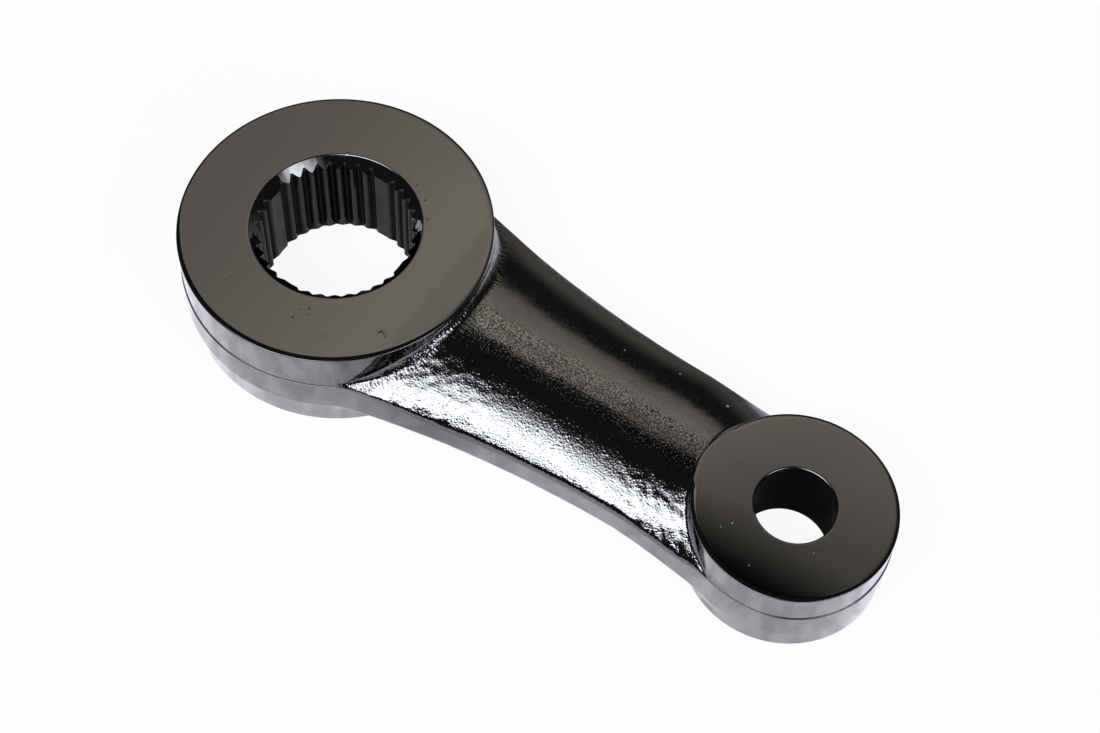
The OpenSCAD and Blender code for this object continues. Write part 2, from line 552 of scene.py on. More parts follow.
# %% [markdown]
# ## One tooth space and one key
#
# The splined bore has 36 places round it. Most hold a V groove between two teeth, and every ninth is
# left uncut as a wide land, so that the arm fits its shaft in only four ways. Each kind is one narrow
# slice of the bore, drawn from the top face down the chamfer, along the groove and out at the base. The
# corners have an extra point on each side, because enamel rounds every edge a little.

# %% Draw the two slices
DIVISIONS = 36
KEYS = 4
TIP_R = 15.45
ROOT_R = 16.5
TIP_FLAT = 0.45
ROOT_FLAT = 0.3
MOUTH_R = 17.65
MOUTH_ROUND = 0.14
CORNER = 0.09
half_pitch = math.pi / DIVISIONS


def groove_slice():
    tip = half_pitch - TIP_FLAT / 2 / TIP_R
    root = ROOT_FLAT / 2 / ROOT_R
    flank = (tip - root) / (ROOT_R - TIP_R)
    half = [
        (half_pitch, TIP_R),
        (tip + CORNER / TIP_R, TIP_R),
        (tip - 0.1 * CORNER / TIP_R, TIP_R + 0.35 * CORNER),
        (tip - CORNER * flank, TIP_R + CORNER),
        (root + 1.6 * CORNER * flank, ROOT_R - 1.6 * CORNER),
        (root + 0.4 * CORNER / ROOT_R, ROOT_R - 0.4 * CORNER),
        (0.0, ROOT_R),
    ]
    return [(-a, r) for a, r in half] + half[-2::-1]


def land_slice():
    return [(a, TIP_R) for a, _ in groove_slice()]


def slice_rows(outline):
    """Rows of one slice, from the guard ring on the top face to the one on the base."""
    angle, r = np.array(outline).T
    top = HUB_H - (MOUTH_R - r)
    ring = np.ones_like(r)
    upper = [
        (ring * (MOUTH_R + 2 * MOUTH_ROUND), ring * HUB_H),
        (ring * (MOUTH_R + MOUTH_ROUND), ring * HUB_H),
        (ring * (MOUTH_R - 0.1 * MOUTH_ROUND), ring * (HUB_H - 0.3 * MOUTH_ROUND)),
        (ring * (MOUTH_R - MOUTH_ROUND), ring * (HUB_H - MOUTH_ROUND)),
        (r + CORNER, top + CORNER),
        (r, top - 0.5 * CORNER),
    ]
    rows = upper + [(radius, HUB_H - z) for radius, z in upper[::-1]]
    radius, z = np.array(rows).transpose(1, 0, 2)
    return about(0.0, radius, angle, z)


def slice_object(name, outline):
    grid = slice_rows(outline)
    return make_mesh(name, grid.reshape(-1, 3), grid_faces(*grid.shape[:2]))


groove = slice_object("groove_slice", groove_slice())
land = slice_object("key_slice", land_slice())
print("slices of", len(groove.data.polygons), "faces")

# %% [markdown]
# ## Colours, sizes and soft steps in materials
#
# Colours are written as sRGB hex values, as on a paint chart, and one function turns them into the linear
# values that the renderer works with. The size of a pattern is in millimetres of the real surface. A
# ramp is a soft step between two pairs of a place and a level, and a product of levels says where a
# pattern may show.

# %% Helpers for materials
def colour(hex_code):
    """Linear colour from an sRGB hex value."""
    values = [int(hex_code[i:i + 2], 16) / 255 for i in (1, 3, 5)]
    linear = [v / 12.92 if v <= 0.04045 else ((v + 0.055) / 1.055) ** 2.4 for v in values]
    return (*linear, 1.0)


def empty_material(name):
    material = bpy.data.materials.new(name)
    material.use_nodes = True
    material.node_tree.nodes.clear()
    return material, material.node_tree


def product(tree, *levels):
    whole = levels[0]
    for level in levels[1:]:
        whole = maths(tree, "MULTIPLY", whole, level)
    return whole


def ramp(tree, value, start, end):
    """Follow a smooth step from one (place, level) pair to another."""
    return add_node(tree, "ShaderNodeMapRange", {
        "Value": value, "From Min": start[0], "To Min": start[1], "From Max": end[0], "To Max": end[1],
    }, interpolation_type="SMOOTHSTEP").outputs["Result"]


def ramp_mm(tree, length, start, end):
    """The same for a length, with both places in millimetres."""
    return ramp(tree, length, (start[0] * MM, start[1]), (end[0] * MM, end[1]))


def vectors(tree, operation, a, b, result=0):
    return add_node(tree, "ShaderNodeVectorMath", {0: a, 1: b}, operation=operation).outputs[result]


def distance_mm(tree, place, x, y):
    """Distance from a point that is given in millimetres."""
    return vectors(tree, "DISTANCE", place, (x * MM, y * MM, 0), "Value")


def clouds(tree, place, size_mm, detail):
    """Soft noise with features of about this size."""
    inputs = {"Vector": place, "Scale": 1 / (size_mm * MM), "Detail": detail}
    return add_node(tree, "ShaderNodeTexNoise", inputs).outputs["Fac"]


def cells(tree, place, size_mm):
    """Distance from the nearest of scattered points, about this far apart."""
    inputs = {"Vector": place, "Scale": 1 / (size_mm * MM)}
    return add_node(tree, "ShaderNodeTexVoronoi", inputs).outputs["Distance"]


print("paint black in linear values:", [round(c, 5) for c in colour("#040405")[:3]])

# %% [markdown]
# ## What shows through the paint on the forged skin
#
# The enamel follows the scaled skin below it, and the forged share keeps that off the machined faces. Scale
# marks are a fine grain that breaks up the white streak, specks are sandy points towards the ridge, and
# blisters are small domes that give the near flank dark dots. The sand is no height: on the near half of
# the ridge each grain mirrors a little more or less than the next, which looks dry and gritty. The
# smallest grains in the photograph are about a third of a millimetre, so none is finer here.

# %% Patterns of the forged skin
GRAIN_SIZE = 0.36
SPECK_SIZE = 0.45
BLISTER_SIZE = 0.8
RAGGED = 2.0


def forged_patterns(tree, place, y, forged, peel):
    """Heights of the scale marks, specks and blisters, and the sheen of the sand."""
    grain = clouds(tree, place, GRAIN_SIZE, 1.0)
    ragged_y = maths(tree, "MULTIPLY_ADD", grain, RAGGED * MM, y)
    near_half = ramp_mm(tree, ragged_y, (3.0, 1.0), (4.5, 0.4))
    far_flank = ramp_mm(tree, y, (8, 0.0), (12, 1.2))
    near_flank = ramp_mm(tree, y, (-10, 2.2), (-4, 1.0))
    coarse = product(tree, near_flank, maths(tree, "MAXIMUM", near_half, far_flank))
    marks = product(tree, grain, coarse, forged)

    speck = ramp(tree, cells(tree, place, SPECK_SIZE), (0.1, 1.0), (0.4, 0.0))
    to_ridge = ramp_mm(tree, y, (-8, 0.6), (-3, 2.4))
    specks = product(tree, speck, forged, to_ridge, near_half)

    blister = ramp(tree, cells(tree, place, BLISTER_SIZE), (0.0, 1.0), (0.55, 0.0))
    on_flank = ramp_mm(tree, y, (-10, 1.0), (-4, 0.0))
    in_patches = ramp(tree, peel, (0.4, 0.3), (0.62, 1.0))
    blisters = product(tree, blister, forged, on_flank, in_patches)

    above_flank = ramp_mm(tree, y, (-8, 0.2), (-4, 1.0))
    sandy_half = ramp_mm(tree, ragged_y, (3.0, 1.0), (4.5, 0.2))
    sand = product(tree, ramp(tree, grain, (0.36, -0.5), (0.64, 0.5)), forged, above_flank, sandy_half)
    return marks, specks, blisters, sand


print("finest pattern:", GRAIN_SIZE, "mm")

# %% [markdown]
# ## Marks of the tools, and painted shade in the grooves
#
# Two places show how they were worked. The fillet at the splined boss was cleaned by hand, which left
# short strokes that glint like bristles. The band was sheared, and faint upright marks follow its height.
# In the spline's grooves the enamel gets painted shade: it mirrors less and has less coat there, so the
# tips and the four lands stand out before them.
# Noise turns into strokes when its space is squeezed along one direction.

# %% Strokes, shear marks and painted shade in the grooves
STROKE_SIZE = 0.45
STROKE_SQUEEZE = 0.15
SHEAR_SIZE = 0.6
SHEAR_SQUEEZE = 0.06


def tool_marks_and_groove_shade(tree, place, plan, forged):
    """Heights of the strokes and the shear marks, and the share of a point that lies in a groove, where the
    enamel gets painted shade.
    """
    x, y, z = add_node(tree, "ShaderNodeSeparateXYZ", {0: place}).outputs
    radius = vectors(tree, "LENGTH", plan, (0, 0, 0), "Value")
    turn = maths(tree, "MULTIPLY", maths(tree, "ARCTAN2", y, x), HUB_R * MM)
    squeezed = maths(tree, "MULTIPLY", radius, STROKE_SQUEEZE)
    polar = add_node(tree, "ShaderNodeCombineXYZ", {0: turn, 1: squeezed, 2: z}).outputs[0]
    in_fillet = ramp_mm(tree, radius, (HUB_BAND_R + 1.5, 1.0), (HUB_BAND_R + 3.5, 0.0))
    strokes = product(tree, clouds(tree, polar, STROKE_SIZE, 0.0), in_fillet, forged)

    upright = vectors(tree, "MULTIPLY", place, (1, 1, SHEAR_SQUEEZE))
    trimmed = add_node(tree, "ShaderNodeAttribute", attribute_name="trimmed").outputs["Fac"]
    shear = product(tree, clouds(tree, upright, SHEAR_SIZE, 1.0), trimmed)

    # Share of a point in the spline's grooves, which the enamel darkens as painted shade.
    past_tip = ramp_mm(tree, radius, (TIP_R + 0.1, 0.0), (TIP_R + 0.5, 1.0))
    in_bore = ramp_mm(tree, radius, (ROOT_R + 0.5, 1.0), (MOUTH_R, 0.0))
    below_mouth = ramp_mm(tree, z, (HUB_H - 2.3, 1.0), (HUB_H - 1.8, 0.0))
    return strokes, shear, product(tree, past_tip, in_bore, below_mouth)


print("strokes of", STROKE_SIZE, "mm, squeezed to", STROKE_SQUEEZE)

# %% [markdown]
# ## Dust nibs, pits and a scratch
#
# Dust that settles in wet enamel makes nibs, and bubbles leave pits. The few that can be seen from the
# photograph's side are placed one by one, each as a place along and across the arm, a reach and a height.
# A nib catches a point of light and a pit shows as a dark dot. The scratch is the overlap of two soft
# strips, one along it and one across.

# %% Spots on the upper side
SPOTS = (
    # Nibs on the splined boss, two of them on a low swelling
    (22.7, -15.8, 1.3, 0.025), (22.5, -15.6, 0.45, 0.27), (14.2, -22.6, 1.0, 0.02), (14.1, -22.4, 0.2, 0.1),
    (-8.5, 15.8, 0.4, 0.08),
    # Pits on the splined boss
    (6.1, -22.6, 0.25, -0.06), (6.3, -20.3, 0.2, -0.05), (7.5, -19.2, 0.25, -0.06), (8.3, -20.4, 0.2, -0.05),
    (7.9, 17.4, 0.25, -0.06), (11.4, 15.2, 0.25, -0.06), (14.5, 11.6, 0.3, -0.06),
    # Nibs on the far flank and pits on the ridge
    (62.7, 11.3, 0.3, 0.1), (74.4, 13.6, 0.3, 0.1), (86.0, 12.8, 0.45, 0.16),
    (73.6, 2.1, 0.4, -0.06), (75.1, 1.8, 0.6, -0.09), (79.0, 2.3, 0.45, -0.07), (79.9, 0.9, 0.5, -0.08),
    # Nibs on the stud boss
    (100.3, -9.9, 0.4, 0.24), (98.9, -11.9, 0.3, 0.18), (99.3, 9.6, 0.25, 0.15), (108.3, 13.1, 0.25, 0.15),
    (98.0, 15.0, 0.25, 0.15), (118.1, 5.4, 0.25, 0.15), (116.4, -6.7, 0.25, 0.15),
    (107.5, -15.9, 0.25, 0.15),
)
SCRATCH_PLACE = (-10.6 * MM, -22.5 * MM, 0)
SCRATCH_STRIPS = (((0.36, 0.93, 0), 3.8), ((0.93, -0.36, 0), 0.45))
SCRATCH_DEPTH = -0.012


def spot_heights(tree, plan, z):
    """Heights of all spots and of the scratch, kept to the upper side."""
    heights = 0.0
    for x, y, reach, height in SPOTS:
        spot = ramp_mm(tree, distance_mm(tree, plan, x, y), (0.0, height), (reach, 0.0))
        heights = maths(tree, "ADD", spot, heights)
    away = vectors(tree, "SUBTRACT", plan, SCRATCH_PLACE)
    strips = []
    for direction, reach in SCRATCH_STRIPS:
        distance = maths(tree, "ABSOLUTE", vectors(tree, "DOT_PRODUCT", away, direction, "Value"))
        strips.append(ramp_mm(tree, distance, (0.0, 1.0), (reach, 0.0)))
    heights = maths(tree, "ADD", heights, product(tree, *strips, SCRATCH_DEPTH))
    return product(tree, heights, ramp_mm(tree, z, (12, 0.0), (13, 1.0)))


print(len(SPOTS), "spots")

# %% [markdown]
# ## Gloss black enamel
#
# The finish is a thick dipped enamel, a gloss black stoving paint. Black gloss paint has almost no colour
# of its own: what the eye sees is the room mirrored in it, so its shine and its unevenness matter most. A
# faint orange peel makes mirrored edges wander, and the patterns above are stacked on it as bumps, each
# with its own depth. A clear coat doubles the mirror, as on thick stoved paint.

# %% The enamel
PEEL_SIZE = 3.2
SHEEN = 0.5
# Painted shade in the spline's grooves: less mirror and less coat there.
GROOVE_SHADE_SHEEN = -0.42
GROOVE_SHADE_COAT = -0.85


def stack_bumps(tree, layers):
    """One normal from pairs of a height and the depth in millimetres that it stands for."""
    normal = None
    for height, depth in layers:
        inputs = {"Height": height, "Strength": 1.0, "Distance": depth * MM}
        if normal:
            inputs["Normal"] = normal
        normal = add_node(tree, "ShaderNodeBump", inputs).outputs["Normal"]
    return normal


def gloss_black_enamel():
    material, tree = empty_material("gloss_black_enamel_on_forged_steel")
    place = add_node(tree, "ShaderNodeTexCoord").outputs["Object"]
    _x, y, z = add_node(tree, "ShaderNodeSeparateXYZ", {0: place}).outputs
    plan = vectors(tree, "MULTIPLY", place, (1, 1, 0))
    forged = add_node(tree, "ShaderNodeAttribute", attribute_name="forged").outputs["Fac"]
    peel = clouds(tree, place, PEEL_SIZE, 2.0)
    marks, specks, blisters, sand = forged_patterns(tree, place, y, forged, peel)
    strokes, shear, groove_shade = tool_marks_and_groove_shade(tree, place, plan, forged)
    spots = spot_heights(tree, plan, z)
    normal = stack_bumps(tree, (
        (peel, 0.004),
        (marks, 0.022),
        (specks, 0.01),
        (blisters, 0.036),
        (strokes, 0.1),
        (shear, 0.006),
        (spots, 1.0),
    ))
    tone = add_node(tree, "ShaderNodeMix", {
        "Factor": peel, "A": colour("#040405"), "B": colour("#070707")}, data_type="RGBA")
    # The groove share lowers the mirror and the coat, a painted shade in the grooves.
    sheen = maths(tree, "MULTIPLY_ADD", groove_shade, GROOVE_SHADE_SHEEN, maths(tree, "ADD", sand, SHEEN))
    shade = add_node(tree, "ShaderNodeBsdfPrincipled", {
        "Base Color": tone.outputs["Result"],
        "Roughness": 0.05,
        "IOR": 1.9,
        "Specular IOR Level": sheen,
        "Coat Weight": maths(tree, "MULTIPLY_ADD", groove_shade, GROOVE_SHADE_COAT, 1.0),
        "Coat Roughness": 0.04,
        "Coat IOR": 1.7,
        "Normal": normal,
        "Coat Normal": normal,
    })
    add_node(tree, "ShaderNodeOutputMaterial", {"Surface": shade.outputs["BSDF"]})
    return material


enamel = gloss_black_enamel()
print("material:", enamel.name, "with", len(enamel.node_tree.nodes), "nodes")

# %% [markdown]
# ## The splined bore by Geometry Nodes
#
# A row of teeth is a repeat, and a repeat is what Geometry Nodes does best. The tree makes one point for
# each place round the bore, turns it by its share of a full circle, and sets a key slice on every ninth
# point and a groove slice on the others. Merging equal points makes a single liner of it.

# %% Build the tree for the bore
SAME_PLACE = 0.002


def spline_tree():
    tree = bpy.data.node_groups.new("splined_bore", "GeometryNodeTree")
    sockets = (
        ("Divisions", "NodeSocketInt"),
        ("Keys", "NodeSocketInt"),
        ("Groove", "NodeSocketObject"),
        ("Key", "NodeSocketObject"),
        ("Enamel", "NodeSocketMaterial"),
    )
    for name, kind in sockets:
        tree.interface.new_socket(name, in_out="INPUT", socket_type=kind)
    tree.interface.new_socket("Geometry", in_out="OUTPUT", socket_type="NodeSocketGeometry")
    given = add_node(tree, "NodeGroupInput").outputs
    index = add_node(tree, "GeometryNodeInputIndex").outputs[0]
    step = maths(tree, "DIVIDE", 2 * math.pi, given["Divisions"])
    euler = add_node(tree, "ShaderNodeCombineXYZ", {"Z": maths(tree, "MULTIPLY", index, step)})
    rotation = add_node(tree, "FunctionNodeEulerToRotation", {0: euler.outputs[0]}).outputs[0]
    key_step = maths(tree, "DIVIDE", given["Divisions"], given["Keys"])
    is_key = maths(tree, "LESS_THAN", maths(tree, "MODULO", index, key_step), 0.5)
    is_groove = maths(tree, "SUBTRACT", 1.0, is_key)
    points = add_node(tree, "GeometryNodePoints", {"Count": given["Divisions"]}).outputs[0]
    kinds = []
    for name, chosen in (("Groove", is_groove), ("Key", is_key)):
        piece = add_node(tree, "GeometryNodeObjectInfo", {"Object": given[name]}).outputs["Geometry"]
        kinds.append(add_node(tree, "GeometryNodeInstanceOnPoints", {
            "Points": points, "Selection": chosen, "Instance": piece, "Rotation": rotation}).outputs[0])
    joined = add_node(tree, "GeometryNodeJoinGeometry", {0: kinds[0]})
    tree.links.new(kinds[1], joined.inputs[0])
    real = add_node(tree, "GeometryNodeRealizeInstances", {0: joined.outputs[0]})
    merged = add_node(tree, "GeometryNodeMergeByDistance", {
        "Geometry": real.outputs[0], "Distance": SAME_PLACE * MM})
    finished = add_node(tree, "GeometryNodeSetMaterial", {
        "Geometry": merged.outputs[0], "Material": given["Enamel"]})
    add_node(tree, "NodeGroupOutput", {0: finished.outputs[0]})
    return tree


def made_by_nodes(name, tree, values):
    """Run a tree on an empty mesh and return the result as a plain mesh."""
    host = bpy.data.objects.new(name, bpy.data.meshes.new(name))
    scene.collection.objects.link(host)
    modifier = host.modifiers.new(name, "NODES")
    modifier.node_group = tree
    for item in tree.interface.items_tree:
        if item.in_out == "INPUT" and item.name in values:
            modifier[item.identifier] = values[item.name]
    host.update_tag()
    evaluated = host.evaluated_get(bpy.context.evaluated_depsgraph_get())
    mesh = bpy.data.meshes.new_from_object(evaluated)
    bpy.data.objects.remove(host)
    return mesh


liner = made_by_nodes("splined_bore", spline_tree(), {
    "Divisions": DIVISIONS, "Keys": KEYS, "Groove": groove, "Key": land, "Enamel": enamel})
print("splined bore:", len(liner.polygons), "faces from", DIVISIONS, "places")

# %% [markdown]
# ## The tapered bore and the four machined faces
#
# The stud's bore is a plain cone with a broken edge at each mouth, drawn as rings. The machined faces are
# flat, so each is only a ring of triangles between the outer edge of the boss and the mouth of its bore. The
# narrow guard rings at both borders keep the shading of the flat part perfectly flat.

# %% Draw the bore and close the faces
STUD_SMALL_R = 7.95
STUD_LARGE_R = 9.2125
STUD_EDGE = 0.35
STUD_STEPS = 96


def ring(radius, z, centre, steps):
    return about(centre, radius, 2 * math.pi * np.arange(steps) / steps, z)


def bore_radius(z):
    return STUD_LARGE_R + (STUD_SMALL_R - STUD_LARGE_R) * z / EYE_H


mouth = (
    (STUD_EDGE + GUARD, 0.0),
    (STUD_EDGE, 0.0),
    (0.5 * STUD_EDGE, 0.25 * STUD_EDGE),
    (0.1 * STUD_EDGE, 0.65 * STUD_EDGE),
    (0.0, 1.2 * STUD_EDGE),
    (0.0, 2.0 * STUD_EDGE),
)
stud_rows = [(bore_radius(EYE_H - depth) + out, EYE_H - depth) for out, depth in mouth]
stud_rows += [(bore_radius(depth) + out, depth) for out, depth in mouth[::-1]]
stud_bore = np.array([ring(r, z, CENTRES, STUD_STEPS) for r, z in stud_rows])
add_grid(stud_bore, closed=True)
liner_ring = []
for i in range(DIVISIONS):
    for angle, _r in groove_slice()[:-1]:
        liner_ring.append(angle + 2 * half_pitch * i)
liner_ring = np.array(liner_ring)
for name, z, stud_row in (("top", HUB_H, 0), ("base", 0.0, -1)):
    hub_loop, eye_loop = FACE_LOOPS[name]
    add_flat_ring(hub_loop, about(0.0, MOUTH_R + 2 * MOUTH_ROUND, liner_ring, z), 0.0)
    add_flat_ring(eye_loop, stud_bore[stud_row], CENTRES)
print("faces gathered:", len(skin_faces))

# %% [markdown]
# ## Welding the arm into one closed mesh
#
# All grids and the splined bore go into one mesh. Points that share a place are merged, the normals are
# turned outwards, and every edge is counted: a closed skin has exactly two faces on each edge.

# %% Weld and check
def weld():
    raw = bpy.data.meshes.new("raw")
    raw.from_pydata((np.concatenate(skin_points) * MM).tolist(), [], skin_faces)
    for name, shares in (("forged", skin_forged), ("trimmed", skin_trimmed)):
        attribute = raw.attributes.new(name, "FLOAT", "POINT")
        attribute.data.foreach_set("value", np.concatenate(shares))
    work = bmesh.new()
    work.from_mesh(raw)
    work.from_mesh(liner)
    bmesh.ops.remove_doubles(work, verts=work.verts, dist=SAME_PLACE * MM)
    bmesh.ops.recalc_face_normals(work, faces=work.faces)
    open_edges = sum(1 for edge in work.edges if len(edge.link_faces) != 2)
    volume = work.calc_volume(signed=True) / MM**3 / 1000
    mesh = bpy.data.meshes.new("pitman_arm_skin")
    for face in work.faces:
        face.smooth = True
        face.material_index = 0
    work.to_mesh(mesh)
    work.free()
    bpy.data.meshes.remove(raw)
    print(f"{len(mesh.polygons)} faces, {open_edges} open edges, {volume:.1f} cubic cm")
    return mesh


arm_mesh = weld()
arm_mesh.materials.append(enamel)
arm = bpy.data.objects.new("forged_arm", arm_mesh)
scene.collection.objects.link(arm)
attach(arm, "root")
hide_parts("pitman_arm")

# %% [markdown]
# ## Sides that flow into the bosses
#
# Hot steel doesn't fill a sharp inner corner, so the shank's sides flow into the bosses. Where a side and a
# boss are about equally near, the band is pushed outwards, most in the corner itself and less and less
# away from it.

# %% Let the sides flow into the bosses
FLOWS = ((0.0, HUB_BAND_R, 1.2), (CENTRES, EYE_BAND_R, 2.0))
FLOW_FADE = 2.5
EYE_FLOW_END = 6.0


def read(items, name, width):
    """One value of every item of a mesh, as rows of the given width."""
    values = np.empty(len(items) * width)
    items.foreach_get(name, values)
    return values.reshape(-1, width)


def flow_together(mesh):
    """Round the corner between side and boss by pushing the band outwards there."""
    x, y, z = (read(mesh.vertices, "co", 3) / MM).T
    upper = dip(UPPER["hub_edge"], UPPER["eye_edge"], x)
    lower = -dip(LOWER["hub_edge"], LOWER["eye_edge"], x)
    fade = 1 - smooth(np.maximum(z - upper, lower - z) / FLOW_FADE)
    beyond_side = np.abs(y) - half_width(np.clip(x, hub_touch_x, eye_touch_x))
    fade = fade * smooth(x / hub_touch_x) * smooth((CENTRES - x) / EYE_FLOW_END)
    for centre, band_r, blend in FLOWS:
        r = np.hypot(x - centre, y)
        beyond_boss = r - band_r
        share = np.clip((beyond_side - beyond_boss) / blend, -1, 1) / 2 + 0.5
        near = np.maximum(1 - np.abs(beyond_side - beyond_boss) / blend, 0)
        skin = smooth(1 + np.minimum(beyond_side, beyond_boss) / blend)
        push = near**2 * blend / 4 * skin * fade
        x += push * share * (x - centre) / r
        y += push * (share * y / r + (1 - share) * np.sign(y))
    mesh.vertices.foreach_set("co", (np.stack([x, y, z], axis=1) * MM).reshape(-1))
    mesh.update()
    print("sides blended over", [blend for *_, blend in FLOWS], "mm")


flow_together(arm_mesh)

# %% [markdown]
# ## The uneven forged skin
#
# A hot forging is never quite smooth: scale, die wear and grit leave shallow waves and hollows of a few
# millimetres, and small lumps at both ends of the near flank. Moving each point along its normal by a
# smooth noise gives them real shape. The forged share keeps the machined faces and the bores true. At the
# end each face pulls on its points by its area, which keeps the shading of the flats flat.

# %% Roughen the skin
WAVES = ((8.0, 0.06), (3.0, 0.02))
LUMP_SIZE = 1.4
LUMP_HEIGHT = 0.11
LUMPS_AT_HUB = (38.0, 54.0)
LUMPS_AT_EYE = (72.0, 82.0)
LUMPS_ON_SIDE = (-6.0, -12.0)
LEAST_FORGED = 0.001
LEAST_LUMPY = 0.01


def step(value, start, end):
    """A smooth step that is 0 at the start and 1 at the end."""
    return smooth((value - start) / (end - start))


def roughen(mesh):
    place = read(mesh.vertices, "co", 3)
    normal = read(mesh.vertices, "normal", 3)
    forged = read(mesh.attributes["forged"].data, "value", 1)[:, 0]
    lift = np.zeros(len(forged))
    x, y, _z = place.T / MM
    at_ends = np.maximum(1 - step(x, *LUMPS_AT_HUB), step(x, *LUMPS_AT_EYE))
    lumpy = at_ends * step(y, *LUMPS_ON_SIDE)
    for i in np.nonzero(forged > LEAST_FORGED)[0]:
        for size, height in WAVES:
            lift[i] += height * noise.noise(Vector(place[i]) / (size * MM))
        if lumpy[i] > LEAST_LUMPY:
            lift[i] += LUMP_HEIGHT * lumpy[i] * noise.noise(Vector(place[i]) / (LUMP_SIZE * MM))
    place = place + normal * (lift * forged * MM)[:, None]
    mesh.vertices.foreach_set("co", place.reshape(-1))
    mesh.update()
    print("forged points:", int((forged > 0.5).sum()))
    print("lift up to", round(float(np.abs(lift).max()), 3), "mm")


def flat_true_normals(mesh):
    """Weigh each face's normal by its area, so that flats and flanks stay flat up to their edges."""
    total = np.zeros((len(mesh.vertices), 3))
    for face in mesh.polygons:
        total[list(face.vertices)] += np.array(face.normal) * face.area
    total /= np.linalg.norm(total, axis=1, keepdims=True)
    mesh.normals_split_custom_set_from_vertices(total.tolist())
    print("normals set on", len(total), "points")


roughen(arm_mesh)
flat_true_normals(arm_mesh)

# %% [markdown]
# ## Floor
#
# The arm lies on a plain white sweep. To the camera the floor is mostly its own white, and the rest is
# real light on it, so the arm keeps a soft shadow. The enamel mirrors the floor too, and the lower walls
# take their tone from it. The white that it mirrors carries painted shadow: it fades out behind the arm and
# is dim under the two bores and beside the splined boss, where the arm would shade it. It is also a little
# cloudy and cool.

# %% White floor
FLOOR_R = 3.0
FLOOR_SIDES = 64
OWN_WHITE = 0.92
CLOUD_SIZE = 5.0
# Painted shade on the floor that the enamel mirrors: dim discs under the two bores and in the nook beside
# the splined boss.
PAINTED_SHADE = (  # place, radius of the dim disc, radius where it ends, level
    (0, 0, 16.5, 18.5, 0.16),
    (CENTRES, 0, 9, 11, 0.012),
    (36, -35, 4, 18, 0.6),
)


def white_floor():
    material, tree = empty_material("white_paper_sweep")
    rays = add_node(tree, "ShaderNodeLightPath").outputs
    to_camera = rays["Is Camera Ray"]
    mirrored = maths(tree, "MAXIMUM", rays["Is Glossy Ray"], rays["Is Transmission Ray"])
    share = maths(tree, "MAXIMUM", mirrored, maths(tree, "MULTIPLY", to_camera, OWN_WHITE))
    place = add_node(tree, "ShaderNodeTexCoord").outputs["Object"]
    behind = add_node(tree, "ShaderNodeSeparateXYZ", {0: place}).outputs["Y"]
    # Painted shadow: the white that the enamel mirrors fades out behind the arm.
    white = ramp_mm(tree, behind, (40, 1.0), (180, 0.12))
    for x, y, inner, outer, level in PAINTED_SHADE:
        away = distance_mm(tree, place, x, y)
        white = product(tree, white, ramp_mm(tree, away, (inner, level), (outer, 1.0)))
    cloudy = ramp(tree, clouds(tree, place, CLOUD_SIZE, 4.0), (0.35, 0.88), (0.65, 1.16))
    white = ramp(tree, to_camera, (0.0, product(tree, white, cloudy)), (1.0, 1.0))
    tint = add_node(tree, "ShaderNodeMixRGB", {
        0: to_camera, 1: colour("#f4f4ff"), 2: colour("#ffffff")}).outputs[0]
    paper = add_node(tree, "ShaderNodeBsdfDiffuse", {"Color": colour("#ffffff")})
    glow = add_node(tree, "ShaderNodeEmission", {"Color": tint, "Strength": white})
    mix = add_node(tree, "ShaderNodeMixShader", {0: share, 1: paper.outputs[0], 2: glow.outputs[0]})
    add_node(tree, "ShaderNodeOutputMaterial", {"Surface": mix.outputs[0]})
    return material


corners = ring(FLOOR_R / MM, 0.0, 0.0, FLOOR_SIDES)
floor = make_mesh("floor", corners, [tuple(range(FLOOR_SIDES))])
floor.data.materials.append(white_floor())
scene.collection.objects.link(floor)
print("floor", 2 * FLOOR_R, "m across")

# %% [markdown]
# ## Light on the floor
#
# Two soft boxes on the right light the floor and give the arm its soft shadow. They are hidden from
# mirrors, because the enamel's highlights are shaped by panels instead.

# %% Soft boxes
TARGET = Vector((0.054, 0.0, 0.02))
BOX_SIDE = 0.5
BOX_RADIANCE = 2.5


def soft_box(name, position):
    """A square area lamp that faces the arm. Its power is its radiance times pi times its area."""
    lamp = bpy.data.lights.new(name, "AREA")
    lamp.shape = "SQUARE"
    lamp.size = BOX_SIDE
    lamp.energy = BOX_RADIANCE * math.pi * BOX_SIDE**2
    obj = bpy.data.objects.new(name, lamp)
    obj.location = position
    obj.rotation_euler = (TARGET - Vector(position)).to_track_quat("-Z", "Y").to_euler()
    obj.visible_glossy = False
    scene.collection.objects.link(obj)


soft_box("right_soft_box", (0.80, -0.45, 0.80))
soft_box("back_soft_box", (0.75, 0.55, 0.75))
print("two soft boxes")

# %% [markdown]
# ## Panels for the enamel to mirror
#
# Black gloss is lit by what it mirrors, so each panel hangs where one surface will show it. A panel that
# fades towards its edges leaves no hard line in a mirror-flat face. Its brightness is the product of two
# soft ramps across it, read from its own Object coordinates. With no strength it is a black flag.

# %% Make a panel
def soft_edges(tree, x_ramp, y_ramp):
    """A level that rises over the first two numbers of each ramp and falls over the last two."""
    place = add_node(tree, "ShaderNodeTexCoord").outputs["Object"]
    axes = add_node(tree, "ShaderNodeSeparateXYZ", {0: place}).outputs
    levels = []
    for axis, ends in ((axes["X"], x_ramp), (axes["Y"], y_ramp)):
        for dark, bright in (ends[:2], ends[:1:-1]):
            levels.append(ramp(tree, axis, (dark, 0.0), (bright, 1.0)))
    return product(tree, *levels)


